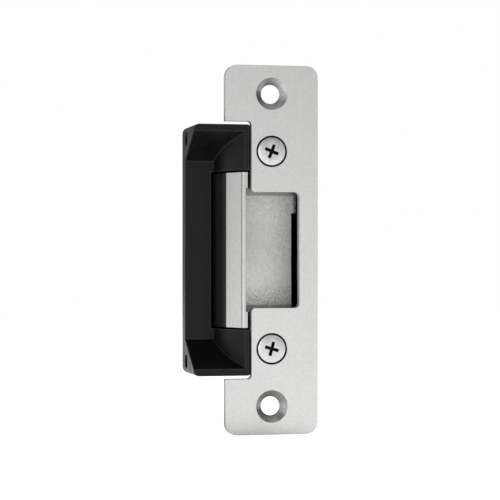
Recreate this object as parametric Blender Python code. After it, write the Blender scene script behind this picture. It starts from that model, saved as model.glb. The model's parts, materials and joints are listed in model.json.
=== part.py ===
"""Electric door strike: faceplate, cast housing with a recessed lip, swinging keeper and its lock.

Run with: blender --background --python part.py

Every size below is in millimetres, and each finished mesh is scaled to metres.
+X points away from the lip, +Y points into the door frame and +Z points up.
The origin is the centre of the faceplate's rear face, midway between its two fixing holes.
"""

import math

import bmesh
import bpy
from mathutils import Vector

MM = 0.001
GAP = 0.35
SHARP_ANGLE = math.radians(35)

# Faceplate: the standard 4-7/8 x 1-1/4 inch plate with fixing holes on 4-1/8 inch centres.
PLATE_WIDTH = 31.75
PLATE_HEIGHT = 123.825
PLATE_THICK = 3.0
PLATE_CORNER_R = 4.0
FIXING_Z = 52.3875
FIXING_R = 3.2
FIXING_SINK_R = 5.4
PLATE_SCREW_Z = 33.1
PLATE_HOLE_R = 2.5
PLATE_SINK_R = 5.3
NOTCH_X = -6.95
NOTCH_HALF = 43.1
NOTCH_CORNER_R = 1.2
LATCH_X = 9.5
LATCH_HALF = 19.45
LATCH_CORNER_R = 1.5
PLATE_SCREW_HEAD_R = 4.7
PLATE_SCREW_SHANK_R = 1.95
PLATE_SCREW_LENGTH = 12.0
PLATE_SCREW_CROSS = (4.6, 1.1, 1.5)
PLATE_SCREW_TURN = 22

# Housing: lip block in front of the frame's face and body behind the plate.
FRONT_Y = -PLATE_THICK
BODY_FRONT_Y = 0.3
LIP_LEFT_X = -26.7
LIP_RIGHT_X = -7.9
LIP_REAR_Y = 18.1
BODY_LEFT_X = -20.0
BODY_RIGHT_X = 14.3
BODY_REAR_Y = 30.2
HOUSING_HALF = 42.0
HOUSING_CORNER_R = 2.0
LIP_FLOOR_Y = 13.2
RAMP_FRONT_Z = 39.7
RAMP_FLOOR_Z = 30.4
RIM_X = -9.1
BAY_LEFT_X = -17.7
BAY_RIGHT_X = 12.3
BAY_HALF = 26.7
BAY_WIDE_Y = 19.0
END_BAY_NEAR_Z = 28.2
END_BAY_FAR_Z = 40.5
END_BAY_FRONT_Y = 2.5
END_BAY_RIGHT_X = 12.8
SIDE_HOLE_Z = 37.8
SIDE_HOLE_Y = 10.7
SIDE_HOLE_R = 2.5
SIDE_HOLE_END_X = -18.5
BODY_WALL = 1.7
RECESS_WALL = 1.5
PLATE_SCREW_POST_R = 4.0
PLATE_SCREW_POST_Y = 11.0
PLATE_SCREW_TAPPED_R = 2.3
COVER_TAPPED_R = 1.35
LEVER_POST_R = 2.4
SMALL_POST_R = 1.7

# Keeper: swings about an upright axis, so that its lip leaves the latch a way out over the housing's lip.
PIVOT_X = 7.3
PIVOT_Y = 15.7
SWING_R = 24.2
KEEPER_HALF = 26.0
POCKET_HALF = 20.7
CHEEK_OUT_Z = 23.3
CHEEK_FRONT_Y = 1.0
CREASE_Y = 4.7
FLANK_END_Y = 14.5
FLOOR_Y = 11.5
FLOOR_REAR_Y = 13.5
FLOOR_RIGHT_X = 10.1
LIP_X = -8.9
LOBE_X = -8.3
LAND_X = -10.1
FLANK_REAR_X = -14.6
LIP_REAR_X = -12.6
POCKET_FILLET_R = 1.5
TAB_X = 11.8
TAB_Z = (12.7, 19.5)
HUB_R = 4.0
SHAFT_R = 2.0
BUSH_R = 3.5
JOURNAL_R = 1.6

# Lock lever: turns in the plane behind the keeper's lug.
LEVER_X = 4.6
LEVER_Z = -31.0
LEVER_FRONT_Y = 16.05
LEVER_REAR_Y = 18.05
LEVER_PIN_R = 1.0
LEVER_PIN_FRONT_Y = 6.5
LEVER_HUB_R = 2.4
FORK_X = (4.9, 6.1)
NOSE_TIP_Z = -27.07
LUG_X = (-10.2, -6.0)
LUG_Y = (12.9, 15.7)
LUG_END_Z = -26.3

# Solenoid: lies along X in the lower end of the housing.
COIL_Y = 24.75
COIL_Z = -35.0
PLUNGER_R = 1.7
NECK_X = (4.1, 6.9)
FRAME_X = (-12.6, 0.6)
FRAME_WALL = 1.1
FRAME_Y = (20.6, 28.9)
FRAME_Z = (-40.2, -31.0)
SOLENOID_SCREW_X = (-9.0, -3.0)
SOLENOID_HOLE_R = 1.25
SWITCH_SLOT_HALF = (1.05, 0.75)
BUTTON_HALF = (0.7, 0.4)
BUTTON_PROUD = 0.4

# Rear cover and its screws.
COVER_Y = (30.5, 32.0)
COVER_SCREWS = [(-16.1, 38.3), (10.6, 38.3), (-16.1, -38.3), (10.6, -38.3)]
COVER_BOSS_R = 2.6
COVER_BOSS_Y = 19.2

# Switches, circuit board and the terminal socket.
LOCK_SWITCH = ((-12.4, 14.1, -40.2), (0.4, 19.7, -33.7))
LOCK_SWITCH_SCREWS = (-9.2, -2.7)
LOCK_SWITCH_SCREW_Z = -38.3
LOCK_BUTTON_X = -8.0
KEEPER_SWITCH = ((-8.6, 24.0, 28.55), (4.2, 30.15, 33.3))
KEEPER_SWITCH_SCREWS = (-5.4, 1.1)
KEEPER_SWITCH_SCREW_Y = 27.5
KEEPER_BUTTON_X = -2.2
LEAF_HINGE = (-7.65, 24.3)
LEAF_Y = (22.75, 23.25)
LEAF_Z = (29.6, 32.4)
LEAF_TIP_X = (4.6, 6.6)
CAM_R = (4.7, 6.6)
CAM_ANGLES = (90, 108)
CAM_TOP_Z = 25.9
BOARD = ((-13.0, 16.0, 31.6), (11.5, 17.2, 40.2))
BOARD_SCREWS = [(-11.2, 33.1), (4.5, 37.8)]
SOCKET = ((-12.6, 17.5, 34.6), (-1.0, 31.9, 40.3))
SOCKET_WALL = 0.6
SOCKET_DEPTH = 8.0
PIN_OFFSET = 3.6
PIN_HALF = 0.45
SUPPRESSOR = (3.4, 34.0)
LEAD_R = 0.5

# Windows between the keeper's bay and the end bays, as their lowest and highest (x, y).
LOCK_WINDOW = ((-11.3, 15.6), (-5.0, 18.5))
LEAF_WINDOW = ((LEAF_TIP_X[0] - 0.5, 20.6), (LEAF_TIP_X[1] + 0.5, 23.9))
LEAD_WINDOW_LOWER = ((8.6, 25.5), (12.2, 28.5))
LEAD_WINDOW_UPPER = ((8.9, 25.5), (12.2, 28.5))

# Screws: a countersunk head has a short straight edge above its cone.
SINK_HALF_ANGLE = 41
HEAD_EDGE = 0.2
SINK_EDGE = 0.15
SUNK = 0.1
SMALL_CROSS = (1.9, 0.5, 0.7)
TINY_CROSS = (1.2, 0.35, 0.3)
TINY_HEAD_R = 1.2
TINY_SHANK_R = 0.7
TINY_HOLE_R = 1.05

# Colour, roughness and metallic value of each finish.
FINISHES = {
    "stainless": ((0.62, 0.61, 0.59), 0.32, 1.0),
    "cast_steel": ((0.45, 0.45, 0.44), 0.45, 1.0),
    "zinc": ((0.55, 0.55, 0.53), 0.35, 1.0),
    "black_paint": ((0.012, 0.012, 0.012), 0.5, 0.0),
    "steel": ((0.5, 0.5, 0.52), 0.3, 1.0),
    "spring_steel": ((0.35, 0.35, 0.37), 0.3, 1.0),
    "bronze": ((0.55, 0.36, 0.16), 0.4, 1.0),
    "copper": ((0.5, 0.2, 0.09), 0.3, 1.0),
    "nylon": ((0.7, 0.68, 0.6), 0.5, 0.0),
    "black_plastic": ((0.02, 0.02, 0.022), 0.45, 0.0),
    "red_plastic": ((0.5, 0.03, 0.02), 0.4, 0.0),
    "laminate": ((0.02, 0.14, 0.05), 0.4, 0.0),
    "blue_resin": ((0.03, 0.09, 0.3), 0.35, 0.0),
    "brass": ((0.7, 0.5, 0.2), 0.3, 1.0),
}


# ---------------------------------------------------------------- outlines

def arc(centre, radius, start, end, steps=8):
    """Points on a circle from the angle start to the angle end, in degrees."""
    points = []
    for step in range(steps + 1):
        angle = math.radians(start + (end - start) * step / steps)
        points.append((centre[0] + radius * math.cos(angle), centre[1] + radius * math.sin(angle)))
    return points


def rounded(corners, steps=5):
    """An outline whose corners (x, y, radius) are rounded by tangent arcs."""
    outline = []
    for i, (x, y, radius) in enumerate(corners):
        if not radius:
            outline.append((x, y))
            continue
        here = Vector((x, y))
        back = (Vector(corners[i - 1][:2]) - here).normalized()
        ahead = (Vector(corners[(i + 1) % len(corners)][:2]) - here).normalized()
        half = back.angle(ahead) / 2
        centre = here + (back + ahead).normalized() * (radius / math.sin(half))
        first = here + back * (radius / math.tan(half)) - centre
        last = here + ahead * (radius / math.tan(half)) - centre
        start = math.degrees(math.atan2(first.y, first.x))
        turn = (math.degrees(math.atan2(last.y, last.x)) - start + 180) % 360 - 180
        outline += arc(centre, radius, start, start + turn, steps)
    return outline


def rectangle(left, low, right, high, radius=0):
    return rounded([(left, low, radius), (right, low, radius), (right, high, radius), (left, high, radius)])


def swing_arc(start_y, end_y, radius=SWING_R, steps=10):
    """Points along the swing circle between two depths, on the lip's side."""
    start = 180 + math.degrees(math.asin((PIVOT_Y - start_y) / radius))
    end = 180 + math.degrees(math.asin((PIVOT_Y - end_y) / radius))
    return arc((PIVOT_X, PIVOT_Y), radius, start, end, steps)


# ---------------------------------------------------------------- solids

def place(axis, along, a, b):
    """A point from its place along an axis and its two coordinates across it."""
    return {"X": (along, a, b), "Y": (a, along, b), "Z": (a, b, along)}[axis]


def new_object(mesh):
    """An object from a bmesh whose faces are turned outwards."""
    bmesh.ops.recalc_face_normals(mesh, faces=mesh.faces[:])
    data = bpy.data.meshes.new("solid")
    mesh.to_mesh(data)
    mesh.free()
    obj = bpy.data.objects.new("solid", data)
    bpy.context.scene.collection.objects.link(obj)
    return obj


def prism(outline, axis, low, high):
    """An outline extruded along an axis."""
    mesh = bmesh.new()
    face = mesh.faces.new([mesh.verts.new(place(axis, low, a, b)) for a, b in outline])
    grown = bmesh.ops.extrude_face_region(mesh, geom=[face])
    moved = [item for item in grown["geom"] if isinstance(item, bmesh.types.BMVert)]
    bmesh.ops.translate(mesh, verts=moved, vec=place(axis, high - low, 0, 0))
    return new_object(mesh)


def box(low, high):
    return prism(rectangle(low[0], low[1], high[0], high[1]), "Z", low[2], high[2])


def turned(axis, centre, profile, sides=20, ring=False):
    """A profile of (place along the axis, radius) turned about the axis; a ring's profile is closed."""
    mesh = bmesh.new()
    rows = []
    for along, radius in profile:
        circle = arc(centre, radius, 0, 360, sides)[:-1]
        rows.append([mesh.verts.new(place(axis, along, a, b)) for a, b in circle])
    pairs = list(zip(rows, rows[1:]))
    if ring:
        pairs.append((rows[-1], rows[0]))
    else:
        mesh.faces.new(rows[0])
        mesh.faces.new(rows[-1])
    for row, following in pairs:
        for i in range(sides):
            j = (i + 1) % sides
            mesh.faces.new([row[i], row[j], following[j], following[i]])
    return new_object(mesh)


def rod(axis, centre, radius, low, high, sides=16):
    return turned(axis, centre, [(low, radius), (high, radius)], sides)


def sleeve(axis, centre, inner, outer, low, high, sides=16):
    return turned(axis, centre, [(low, inner), (low, outer), (high, outer), (high, inner)], sides, True)


def wire(points, radius, resolution=1):
    """A round wire along a list of points, with closed ends."""
    curve = bpy.data.curves.new("wire", "CURVE")
    curve.dimensions = "3D"
    curve.bevel_depth = radius
    curve.bevel_resolution = resolution
    curve.use_fill_caps = True
    spline = curve.splines.new("POLY")
    spline.points.add(len(points) - 1)
    for point, place_at in zip(spline.points, points):
        point.co = (*place_at, 1)
    obj = bpy.data.objects.new("wire", curve)
    bpy.context.scene.collection.objects.link(obj)
    mesh_data = evaluated_mesh(obj)
    bpy.data.objects.remove(obj)
    obj = bpy.data.objects.new("wire", mesh_data)
    bpy.context.scene.collection.objects.link(obj)
    return obj


def evaluated_mesh(obj):
    graph = bpy.context.evaluated_depsgraph_get()
    return bpy.data.meshes.new_from_object(obj.evaluated_get(graph))


def combine(base, tool, operation):
    """Apply an exact Boolean of the object tool to the object base, and drop the tool."""
    modifier = base.modifiers.new("combine", "BOOLEAN")
    modifier.operation = operation
    modifier.solver = "EXACT"
    modifier.object = tool
    result = evaluated_mesh(base)
    base.modifiers.clear()
    base.data = result
    bpy.data.objects.remove(tool)
    return base


def cut(base, *tools):
    for tool in tools:
        combine(base, tool, "DIFFERENCE")
    return base


def join(base, *tools):
    for tool in tools:
        combine(base, tool, "UNION")
    return base


def keep_inside(base, tool):
    return combine(base, tool, "INTERSECT")


def finish_material(name, finish):
    colour, roughness, metallic = FINISHES[finish]
    material = bpy.data.materials.new(name)
    material.use_nodes = True
    shader = material.node_tree.nodes["Principled BSDF"]
    shader.inputs["Base Color"].default_value = (*colour, 1)
    shader.inputs["Roughness"].default_value = roughness
    shader.inputs["Metallic"].default_value = metallic
    material.diffuse_color = (*colour, 1)
    return material


def finished(name, obj, finish, origin=(0, 0, 0)):
    """Name the solid, give it its finish and scale it to metres, with its origin at the given point."""
    origin = Vector(origin)
    for vertex in obj.data.vertices:
        vertex.co = (vertex.co - origin) * MM
    obj.location = origin * MM
    obj.name = name
    obj.data.name = name
    obj.data.materials.clear()
    obj.data.materials.append(finish_material(name, finish))
    obj.data.shade_smooth()
    obj.data.set_sharp_from_angle(angle=SHARP_ANGLE)
    return obj


# ---------------------------------------------------------------- screws

def cross_recess(axis, centre, face, inward, width, arm, depth, turn=0):
    """Two crossed bars that cut a cross recess into a screw's head."""
    bars = []
    for angle in (turn, turn + 90):
        along = (math.cos(math.radians(angle)), math.sin(math.radians(angle)))
        across = (-along[1], along[0])
        outline = []
        for s, t in ((-1, -1), (1, -1), (1, 1), (-1, 1)):
            outline.append((
                centre[0] + s * along[0] * width / 2 + t * across[0] * arm / 2,
                centre[1] + s * along[1] * width / 2 + t * across[1] * arm / 2,
            ))
        ends = sorted((face - inward, face + inward * depth))
        bars.append(prism(outline, axis, *ends))
    return join(bars[0], bars[1])


def flat_screw(axis, centre, face, inward, head_r, shank_r, length, recess, turn=0, sides=14):
    """A countersunk screw whose head is flush with the place face, driven towards inward (1 or -1)."""
    cone = (head_r - shank_r) / math.tan(math.radians(SINK_HALF_ANGLE))
    profile = [
        (face, head_r),
        (face + inward * HEAD_EDGE, head_r),
        (face + inward * (HEAD_EDGE + cone), shank_r),
        (face + inward * (length - shank_r / 2), shank_r),
        (face + inward * length, shank_r / 2),
    ]
    screw = turned(axis, centre, profile, sides)
    return cut(screw, cross_recess(axis, centre, face, inward, *recess, turn))


def pan_screw(axis, centre, seat, inward, head_r, head_height, shank_r, length, recess):
    """A screw with a low domed head that rests on the place seat."""
    profile = [
        (seat - inward * head_height, head_r * 0.7),
        (seat - inward * head_height * 0.6, head_r),
        (seat, head_r),
        (seat, shank_r),
        (seat + inward * length, shank_r),
    ]
    screw = turned(axis, centre, profile, 12)
    return cut(screw, cross_recess(axis, centre, seat - inward * head_height, inward, *recess))


def sink_cutter(axis, centre, face, inward, sink_r, hole_r, length, sides=16):
    """A cutter for a countersunk hole whose mouth lies at the place face."""
    cone = (sink_r - hole_r) / math.tan(math.radians(SINK_HALF_ANGLE))
    profile = [
        (face - inward, sink_r),
        (face + inward * SINK_EDGE, sink_r),
        (face + inward * (SINK_EDGE + cone), hole_r),
        (face + inward * length, hole_r),
    ]
    return turned(axis, centre, profile, sides)


# ---------------------------------------------------------------- faceplate

def faceplate_outline():
    """The plate's edge, with the notch for the housing and the latch opening that runs into it."""
    side = PLATE_WIDTH / 2
    top = PLATE_HEIGHT / 2
    return rounded([
        (-side, -top, PLATE_CORNER_R),
        (side, -top, PLATE_CORNER_R),
        (side, top, PLATE_CORNER_R),
        (-side, top, PLATE_CORNER_R),
        (-side, NOTCH_HALF, 0),
        (NOTCH_X, NOTCH_HALF, NOTCH_CORNER_R),
        (NOTCH_X, LATCH_HALF, NOTCH_CORNER_R),
        (LATCH_X, LATCH_HALF, LATCH_CORNER_R),
        (LATCH_X, -LATCH_HALF, LATCH_CORNER_R),
        (NOTCH_X, -LATCH_HALF, NOTCH_CORNER_R),
        (NOTCH_X, -NOTCH_HALF, NOTCH_CORNER_R),
        (-side, -NOTCH_HALF, 0),
    ])


def make_faceplate():
    plate = prism(faceplate_outline(), "Y", FRONT_Y, 0)
    through = PLATE_THICK + 2
    for side in (1, -1):
        cut(
            plate,
            sink_cutter("Y", (0, side * FIXING_Z), FRONT_Y, 1, FIXING_SINK_R, FIXING_R, through, 32),
            sink_cutter("Y", (0, side * PLATE_SCREW_Z), FRONT_Y, 1, PLATE_SINK_R, PLATE_HOLE_R, through, 32),
        )
    finished("faceplate", plate, "stainless")


def make_faceplate_screws():
    sizes = (PLATE_SCREW_HEAD_R, PLATE_SCREW_SHANK_R, PLATE_SCREW_LENGTH, PLATE_SCREW_CROSS, PLATE_SCREW_TURN)
    for name, side in (("upper", 1), ("lower", -1)):
        screw = flat_screw("Y", (0, side * PLATE_SCREW_Z), FRONT_Y + SUNK, 1, *sizes, 28)
        finished(f"faceplate_screw_{name}", screw, "zinc")


# ---------------------------------------------------------------- housing

def lip_recess():
    """The hollow in front of the lip floor: a ramp at each end, and the swing circle on its right."""
    outline = [(LIP_LEFT_X - 5, FRONT_Y - 1), (RIM_X, FRONT_Y - 1)]
    rim_depth = PIVOT_Y - math.sqrt(SWING_R ** 2 - (PIVOT_X - RIM_X) ** 2)
    outline += swing_arc(rim_depth, LIP_FLOOR_Y)
    outline.append((LIP_LEFT_X - 5, LIP_FLOOR_Y))
    recess = prism(outline, "Z", -HOUSING_HALF, HOUSING_HALF)
    slope = (RAMP_FRONT_Z - RAMP_FLOOR_Z) / (LIP_FLOOR_Y - FRONT_Y)
    reach = 2.0
    wedge = [
        (FRONT_Y - reach, RAMP_FRONT_Z + reach * slope),
        (LIP_FLOOR_Y + reach, RAMP_FLOOR_Z - reach * slope),
        (LIP_FLOOR_Y + reach, -RAMP_FLOOR_Z + reach * slope),
        (FRONT_Y - reach, -RAMP_FRONT_Z - reach * slope),
    ]
    return keep_inside(recess, prism(wedge, "X", LIP_LEFT_X - 10, 0))


def end_bay(side):
    """The hollow at one end of the housing, leaving its posts for screws standing."""
    outline = swing_arc(END_BAY_FRONT_Y, LIP_FLOOR_Y, SWING_R - RECESS_WALL)
    left = outline[-1][0]
    wide = BODY_LEFT_X + BODY_WALL
    outline += [(left, BAY_WIDE_Y), (wide, BAY_WIDE_Y), (wide, BODY_REAR_Y + 1)]
    outline += [(END_BAY_RIGHT_X, BODY_REAR_Y + 1), (END_BAY_RIGHT_X, END_BAY_FRONT_Y)]
    bay = prism(outline, "Z", *sorted((side * END_BAY_NEAR_Z, side * END_BAY_FAR_Z)))
    posts = [rod("Y", (0, side * PLATE_SCREW_Z), PLATE_SCREW_POST_R, -1, PLATE_SCREW_POST_Y)]
    for x, z in COVER_SCREWS:
        if z * side > 0:
            posts.append(rod("Y", (x, z), COVER_BOSS_R, COVER_BOSS_Y, BODY_REAR_Y + 2))
    if side < 0:
        posts.append(rod("Y", (LEVER_X, LEVER_Z), LEVER_POST_R, -1, LEVER_FRONT_Y - GAP))
        for x in LOCK_SWITCH_SCREWS:
            posts.append(rod("Y", (x, LOCK_SWITCH_SCREW_Z), SMALL_POST_R, -1, LOCK_SWITCH[0][1] - GAP))
    else:
        for x, z in BOARD_SCREWS:
            posts.append(rod("Y", (x, z), SMALL_POST_R, -1, BOARD[0][1] - GAP))
    return cut(bay, *posts)


def housing_blank():
    """The outer shape: the lip block joined to the body, with its outer corners rounded."""
    r = HOUSING_CORNER_R
    lip = rounded([
        (LIP_LEFT_X, -HOUSING_HALF, r), (LIP_RIGHT_X, -HOUSING_HALF, 0),
        (LIP_RIGHT_X, HOUSING_HALF, 0), (LIP_LEFT_X, HOUSING_HALF, r),
    ])
    body = rectangle(BODY_LEFT_X, -HOUSING_HALF, BODY_RIGHT_X, HOUSING_HALF, r)
    return join(
        prism(lip, "Y", FRONT_Y, LIP_REAR_Y),
        prism(body, "Y", BODY_FRONT_Y, BODY_REAR_Y),
    )


def housing_holes(side):
    """Cutters for the round holes at one end."""
    bush_hole = sorted((side * (BAY_HALF - 1), side * (END_BAY_NEAR_Z + 0.5)))
    holes = [
        rod("Y", (0, side * PLATE_SCREW_Z), PLATE_SCREW_TAPPED_R, -1, PLATE_SCREW_POST_Y - 1),
        rod("X", (SIDE_HOLE_Y, side * SIDE_HOLE_Z), SIDE_HOLE_R, LIP_LEFT_X - 1, SIDE_HOLE_END_X),
        rod("Z", (PIVOT_X, PIVOT_Y), BUSH_R + GAP, *bush_hole),
    ]
    for x, z in COVER_SCREWS:
        if z * side > 0:
            holes.append(rod("Y", (x, z), COVER_TAPPED_R, COVER_BOSS_Y + 1, BODY_REAR_Y + 1, 12))
    return holes


def window(low, high, side):
    """A cutter for a window between the keeper's bay and an end bay, from its lowest and highest (x, y)."""
    near, far = sorted((side * (BAY_HALF - 0.5), side * (END_BAY_NEAR_Z + 0.5)))
    return box((*low, near), (*high, far))


def lock_holes():
    """Cutters for the lock's window, the leads, and the lock's pin and screws at the lower end."""
    holes = [
        window(*LOCK_WINDOW, -1),
        window(*LEAD_WINDOW_LOWER, -1),
        rod("Y", (LEVER_X, LEVER_Z), LEVER_PIN_R + GAP, LEVER_PIN_FRONT_Y - 0.5, LEVER_FRONT_Y + 1),
    ]
    for x in LOCK_SWITCH_SCREWS:
        holes.append(rod("Y", (x, LOCK_SWITCH_SCREW_Z), TINY_HOLE_R, 9.0, LOCK_SWITCH[0][1] + 1, 12))
    for x in SOLENOID_SCREW_X:
        holes.append(sink_cutter("Z", (x, COIL_Y), -HOUSING_HALF, 1, 2.2, SOLENOID_HOLE_R, 3))
    return holes


def monitor_holes():
    """Cutters for the keeper switch's window, the leads and the board's screws at the upper end."""
    holes = [window(*LEAF_WINDOW, 1), window(*LEAD_WINDOW_UPPER, 1)]
    for x, z in BOARD_SCREWS:
        holes.append(rod("Y", (x, z), TINY_HOLE_R, 11.0, BOARD[0][1] + 1, 12))
    for x in KEEPER_SWITCH_SCREWS:
        centre = (x, KEEPER_SWITCH_SCREW_Y)
        holes.append(rod("Z", centre, TINY_HOLE_R, BAY_HALF - 0.5, END_BAY_NEAR_Z + 0.5, 12))
    return holes


def make_housing():
    housing = housing_blank()
    bay = box((BAY_LEFT_X, FRONT_Y - 1, -BAY_HALF), (BAY_RIGHT_X, BODY_REAR_Y + 1, BAY_HALF))
    cut(housing, lip_recess(), bay)
    for side in (1, -1):
        cut(housing, end_bay(side), *housing_holes(side))
    cut(housing, *lock_holes(), *monitor_holes())
    finished("housing", housing, "black_paint")


def make_rear_cover():
    outline = rectangle(BODY_LEFT_X, -HOUSING_HALF, BODY_RIGHT_X, HOUSING_HALF, HOUSING_CORNER_R)
    cover = prism(outline, "Y", *COVER_Y)
    for x, z in COVER_SCREWS:
        cut(cover, sink_cutter("Y", (x, z), COVER_Y[1], -1, 2.1, 1.3, 3))
    low, high = SOCKET
    cut(cover, box((low[0] - GAP, 30, low[2] - GAP), (high[0] + GAP, 33, high[2] + GAP)))
    finished("rear_cover", cover, "black_paint")
    for number, (x, z) in enumerate(COVER_SCREWS, 1):
        screw = flat_screw("Y", (x, z), COVER_Y[1] - SUNK, -1, 1.75, 0.95, 8.0, SMALL_CROSS, 20 * number)
        finished(f"rear_cover_screw_{number}", screw, "zinc")


# ---------------------------------------------------------------- keeper

def lip_outline(inner_x):
    """The lip's section: a narrow land, a flat face down to the crease, then the swing circle."""
    return [
        (inner_x, FRONT_Y),
        (LAND_X, FRONT_Y),
        (LAND_X - 0.3, FRONT_Y + 0.4),
        *swing_arc(CREASE_Y, FLANK_END_Y),
        (FLANK_REAR_X, FLANK_END_Y),
    ]


def pocket_section():
    """The keeper's section through the pocket: lip, fillet and floor."""
    fillet_centre = (LIP_X + POCKET_FILLET_R, FLOOR_Y - POCKET_FILLET_R)
    fillet = arc(fillet_centre, POCKET_FILLET_R, 90, 180, 4)
    return lip_outline(LIP_X) + [
        (LIP_REAR_X, FLOOR_REAR_Y),
        (FLOOR_RIGHT_X, FLOOR_REAR_Y),
        (FLOOR_RIGHT_X, FLOOR_Y),
        *fillet,
    ]


def cheek_section():
    """The section of the walls that close the pocket's ends and carry the pivot."""
    return [
        *swing_arc(CREASE_Y, FLANK_END_Y),
        (LIP_REAR_X, FLANK_END_Y),
        (3.0, PIVOT_Y + 2.6),
        *arc((PIVOT_X, PIVOT_Y), HUB_R, 140, 0, 6),
        (PIVOT_X + HUB_R, 11.0),
        (9.0, 4.5),
        (5.0, CHEEK_FRONT_Y),
        (-9.5, CHEEK_FRONT_Y),
    ]


def cam():
    """The ridge beside the upper spring that works the keeper switch's leaf."""
    start, end = CAM_ANGLES
    outline = arc((PIVOT_X, PIVOT_Y), CAM_R[1], start, end, 5)
    outline += arc((PIVOT_X, PIVOT_Y), CAM_R[0], end, start, 5)
    return outline


def make_keeper():
    keeper = prism(pocket_section(), "Z", -POCKET_HALF - 1, POCKET_HALF + 1)
    for side in (1, -1):
        lobe = prism(lip_outline(LOBE_X), "Z", *sorted((side * POCKET_HALF, side * KEEPER_HALF)))
        cheek = prism(cheek_section(), "Z", *sorted((side * POCKET_HALF, side * CHEEK_OUT_Z)))
        join(keeper, lobe, cheek)
    join(keeper, rod("Z", (PIVOT_X, PIVOT_Y), HUB_R, -CHEEK_OUT_Z, CHEEK_OUT_Z, 24))
    join(keeper, box((FLOOR_RIGHT_X - 1, FLOOR_Y, TAB_Z[0]), (TAB_X, FLOOR_REAR_Y, TAB_Z[1])))
    join(keeper, box((LUG_X[0], LUG_Y[0], LUG_END_Z), (LUG_X[1], LUG_Y[1], -CHEEK_OUT_Z + 1)))
    arm = [(PIVOT_X, PIVOT_Y), *arc((PIVOT_X, PIVOT_Y), CAM_R[1], CAM_ANGLES[0] - 2, CAM_ANGLES[1] + 4, 4)]
    join(keeper, prism(arm, "Z", CHEEK_OUT_Z - 1.5, CHEEK_OUT_Z - 0.1))
    join(keeper, prism(cam(), "Z", CHEEK_OUT_Z - 1, CAM_TOP_Z))
    cut(keeper, rod("Z", (PIVOT_X, PIVOT_Y), SHAFT_R + GAP, -30, 30, 20))
    finished("keeper", keeper, "cast_steel", (PIVOT_X, PIVOT_Y, 0))


def make_keeper_shaft():
    groove = JOURNAL_R - 0.4
    profile = [
        (-28.0, SHAFT_R - 0.3), (-27.7, SHAFT_R), (26.3, SHAFT_R), (26.3, JOURNAL_R),
        (29.4, JOURNAL_R), (29.4, groove), (30.4, groove), (30.4, JOURNAL_R), (31.0, JOURNAL_R),
    ]
    centre = (PIVOT_X, PIVOT_Y)
    finished("keeper_shaft", turned("Z", centre, profile, 20), "steel", (*centre, 0))
    lower = sleeve("Z", centre, SHAFT_R + GAP, BUSH_R, -28.1, -26.75)
    finished("keeper_bush_lower", lower, "bronze", (*centre, -BAY_HALF))
    bore = JOURNAL_R + GAP
    flange = [(26.65, bore), (26.65, BUSH_R), (28.55, BUSH_R), (28.55, 4.5), (29.1, 4.5), (29.1, bore)]
    finished("keeper_bush_upper", turned("Z", centre, flange, 20, True), "bronze", (*centre, BAY_HALF))
    clip = sleeve("Z", centre, JOURNAL_R - 0.05, 3.2, 29.7, 30.1, 24)
    mouth = box((PIVOT_X - 1.2, PIVOT_Y - 5, 29), (PIVOT_X + 1.2, PIVOT_Y, 31))
    finished("shaft_clip", cut(clip, mouth), "spring_steel", (*centre, 30))


def torsion_spring(low, high, side):
    """A spring about the keeper's axis, with one end to the keeper and one to the housing."""
    coil_r, turns, steps = 2.95, 2.5, 12
    count = int(turns * steps)
    points = [(PIVOT_X - 6.2, PIVOT_Y - coil_r, low)]
    for i in range(count + 1):
        angle = math.radians(-90 + 360 * i / steps)
        z = low + (high - low) * i / count
        points.append((PIVOT_X + coil_r * math.cos(angle), PIVOT_Y + coil_r * math.sin(angle), z))
    points.append((PIVOT_X - 7.0, PIVOT_Y + coil_r, high))
    mirrored = [(x, y, side * z) for x, y, z in points]
    return wire(mirrored, 0.3)


def make_keeper_springs():
    for name, side in (("upper", 1), ("lower", -1)):
        spring = torsion_spring(23.95, 26.05, side)
        finished(f"keeper_spring_{name}", spring, "spring_steel", (PIVOT_X, PIVOT_Y, side * 25))


# ---------------------------------------------------------------- lock

def lever_outline():
    """The lever's plate: a nose that reaches up behind the lug, an arm, a hub and a tail."""
    hub = arc((LEVER_X, LEVER_Z), LEVER_HUB_R, 100, -45, 8)
    return [
        (-10.7, NOSE_TIP_Z), (-10.7, -33.0), (2.6, -32.9), (4.0, -34.0), (4.0, -37.2), (6.4, -37.2),
        *reversed(hub), (2.2, -29.6), (-6.7, -30.9), (-6.7, NOSE_TIP_Z),
    ]


def make_lock_lever():
    lever = prism(lever_outline(), "Y", LEVER_FRONT_Y, LEVER_REAR_Y)
    fork = [
        (17.0, -37.2), (26.5, -37.2), (26.5, -36.4), (22.9, -36.4),
        (22.9, -33.6), (26.5, -33.6), (26.5, -32.9), (17.0, -32.9),
    ]
    join(lever, prism(fork, "X", *FORK_X))
    cut(lever, rod("Y", (LEVER_X, LEVER_Z), LEVER_PIN_R + GAP, 15, 19))
    finished("lock_lever", lever, "steel", (LEVER_X, LEVER_FRONT_Y, LEVER_Z))
    centre = (LEVER_X, LEVER_Z)
    groove = LEVER_PIN_R - 0.35
    profile = [
        (LEVER_PIN_FRONT_Y, LEVER_PIN_R), (18.35, LEVER_PIN_R), (18.35, groove), (19.25, groove),
        (19.25, LEVER_PIN_R), (19.7, LEVER_PIN_R),
    ]
    finished("lock_lever_pin", turned("Y", centre, profile, 16), "steel", (LEVER_X, LEVER_FRONT_Y, LEVER_Z))
    clip = sleeve("Y", centre, LEVER_PIN_R - 0.02, 1.65, 18.6, 19.0, 20)
    mouth = box((LEVER_X - 0.7, 18, LEVER_Z), (LEVER_X + 0.7, 20, LEVER_Z + 3))
    finished("lock_lever_clip", cut(clip, mouth), "spring_steel", (LEVER_X, 18.8, LEVER_Z))


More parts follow.
